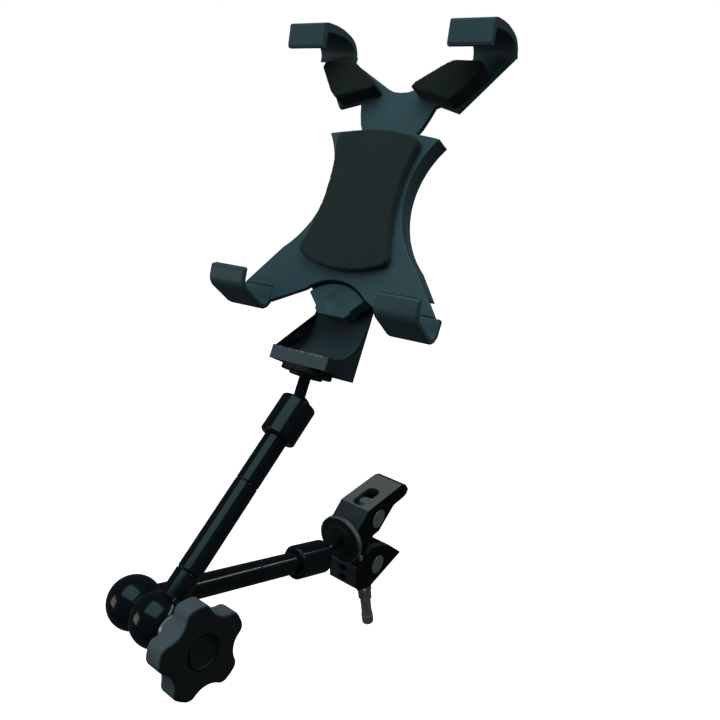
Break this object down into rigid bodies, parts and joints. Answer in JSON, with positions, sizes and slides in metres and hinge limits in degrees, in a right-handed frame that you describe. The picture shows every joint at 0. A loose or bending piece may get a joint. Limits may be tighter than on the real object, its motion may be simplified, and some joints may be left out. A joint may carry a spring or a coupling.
{
  "type": "tablet holder on a friction arm with a screw clamp",
  "caption": "Tablet holder with sprung foam-padded hooks on a jointed friction arm with ball ends, a locking elbow knob and a screw clamp.",
  "frame": {"origin": "middle of the clamp's jaw mouth", "axes": "+Y out of the jaw mouth, away from the arm; +Z along the clamp screw, towards the upper jaw; X across the jaws"},
  "size_m": [0.1308, 0.2348, 0.366],
  "materials": {
    "gloss_black": "gloss black anodised tube and hub",
    "black_stud": "black oxide steel",
    "disc_black": "black anodised turned disc with a worn rim",
    "jaw_metal": "brushed dark anodised casting",
    "bright_steel": "nickel plated steel",
    "plain_steel": "plain steel",
    "seat_nylon": "nylon ball seat",
    "knob_plastic": "matt moulded plastic",
    "insert_brass": "brass insert",
    "holder_plastic": "dark teal grey moulded plastic",
    "back_plastic": "dark grey moulded plastic",
    "foam": "closed cell foam pad",
    "jaw_rubber": "moulded rubber"
  },
  "bodies": {
    "clamp_body": {"fixed_jaw": "jaw_metal", "fixed_jaw_pad": "jaw_rubber"},
    "swing_jaw": {"swing_jaw": "jaw_metal", "swing_jaw_pad": "jaw_rubber", "hinge_pin": "plain_steel"},
    "nut_barrel": {"nut_barrel": "bright_steel"},
    "thrust_barrel": {"thrust_barrel": "bright_steel"},
    "clamp_screw": {"clamp_screw": "bright_steel", "retaining_clip": "plain_steel", "lever_pin": "plain_steel"},
    "lever": {"lever": "bright_steel"},
    "lower_stud": {"lower_stud": "black_stud"},
    "lower_lock_disc": {"lower_lock_disc": "disc_black"},
    "lower_seat": {"lower_seat": "seat_nylon"},
    "lower_arm": {"lower_collar": "gloss_black", "lower_tube": "gloss_black", "lower_push_rod": "plain_steel", "lower_hub": "gloss_black", "lower_brake_cone": "plain_steel", "spindle": "plain_steel", "rear_cap": "gloss_black", "brake_spring": "plain_steel"},
    "upper_arm": {"upper_hub": "gloss_black", "upper_brake_cone": "plain_steel", "upper_tube": "gloss_black", "upper_collar": "gloss_black", "upper_push_rod": "plain_steel"},
    "knob": {"knob": "knob_plastic", "knob_insert": "insert_brass", "knob_washer": "plain_steel"},
    "upper_seat": {"upper_seat": "seat_nylon"},
    "upper_stud": {"upper_stud": "black_stud"},
    "upper_lock_disc": {"upper_lock_disc": "disc_black"},
    "holder": {"front_shell": "holder_plastic", "rear_cover": "back_plastic", "shell_screws": "plain_steel", "centre_pad": "foam", "left_lower_hook": "holder_plastic", "right_lower_hook": "holder_plastic", "bracket": "back_plastic", "bracket_screws": "plain_steel", "bracket_nut": "insert_brass"},
    "slider": {"slider": "holder_plastic", "left_slider_pad": "foam", "right_slider_pad": "foam", "slider_springs": "plain_steel"}
  },
  "joints": [
    {"name": "screw_turn", "type": "hinge", "parent": "thrust_barrel", "child": "clamp_screw", "pos_m": [0, -0.0102, -0.0216], "axis": [0, 0, 1], "range_deg": [-565, 2625]},
    {"name": "nut_barrel_tilt", "type": "hinge", "parent": "clamp_body", "child": "nut_barrel", "pos_m": [0, -0.0102, 0.0123], "axis": [1, 0, 0], "range_deg": [-3, 13]},
    {"name": "screw_travel", "type": "slide", "parent": "nut_barrel", "child": "thrust_barrel", "axis": [0, 0, 1], "range_m": [-0.0021, 0.0093]},
    {"name": "jaw_swing", "type": "hinge", "parent": "clamp_body", "child": "swing_jaw", "pos_m": [0, -0.0272, -0.0066], "axis": [1, 0, 0], "range_deg": [-6, 28]},
    {"name": "lever_fold", "type": "hinge", "parent": "clamp_screw", "child": "lever", "pos_m": [0, -0.0102, -0.0456], "axis": [1, 0, 0], "range_deg": [-99, 81]},
    {"name": "lower_stud_swivel", "type": "hinge", "parent": "clamp_body", "child": "lower_stud", "pos_m": [0, -0.0556, 0.0065], "axis": [0, 1, 0], "continuous": true},
    {"name": "lower_disc_turn", "type": "hinge", "parent": "lower_stud", "child": "lower_lock_disc", "pos_m": [0, -0.0556, 0.0065], "axis": [0, 1, 0], "continuous": true},
    {"name": "lower_ball_tilt", "type": "hinge", "parent": "lower_stud", "child": "lower_seat", "pos_m": [0, -0.0556, 0.0065], "axis": [0.8988, 0, 0.4384], "range_deg": [-14.5, 51.5]},
    {"name": "lower_link_roll", "type": "hinge", "parent": "lower_seat", "child": "lower_arm", "pos_m": [0, -0.0556, 0.0065], "axis": [0.1391, 0.9483, -0.2852], "continuous": true},
    {"name": "elbow_fold", "type": "hinge", "parent": "lower_arm", "child": "upper_arm", "pos_m": [0.00419, -0.16576, 0.04197], "axis": [0.9843, -0.1007, 0.1453], "range_deg": [-15, 160]},
    {"name": "knob_turn", "type": "hinge", "parent": "lower_arm", "child": "knob", "pos_m": [0.00419, -0.16576, 0.04197], "axis": [0.9843, -0.1007, 0.1453], "continuous": true},
    {"name": "upper_link_roll", "type": "hinge", "parent": "upper_arm", "child": "upper_seat", "pos_m": [0.00363, -0.07388, 0.10945], "axis": [-0.0049, 0.806, 0.5919], "continuous": true},
    {"name": "upper_ball_tilt", "type": "hinge", "parent": "upper_seat", "child": "upper_stud", "pos_m": [0.00363, -0.07388, 0.10945], "axis": [0.9858, -0.0956, 0.1383], "range_deg": [-54.5, 11.5]},
    {"name": "upper_disc_turn", "type": "hinge", "parent": "upper_stud", "child": "upper_lock_disc", "pos_m": [0.00363, -0.07388, 0.10945], "axis": [-0.0662, 0.5358, 0.8418], "continuous": true},
    {"name": "holder_swivel", "type": "hinge", "parent": "upper_stud", "child": "holder", "pos_m": [0.00363, -0.07388, 0.10945], "axis": [-0.0662, 0.5358, 0.8418], "continuous": true},
    {"name": "slider_pull", "type": "slide", "parent": "holder", "child": "slider", "axis": [-0.0662, 0.5358, 0.8418], "range_m": [0, 0.05], "stiffness_N_per_m": 90, "springref_m": -0.03, "deforming": ["slider_springs"]}
  ],
  "couplings": [
    {"joint": "screw_turn", "follows": "jaw_swing", "ratio": 93.6},
    {"joint": "nut_barrel_tilt", "follows": "jaw_swing", "ratio": 0.432},
    {"joint": "screw_travel", "follows": "jaw_swing", "m_per_rad": 0.018621}
  ]
}
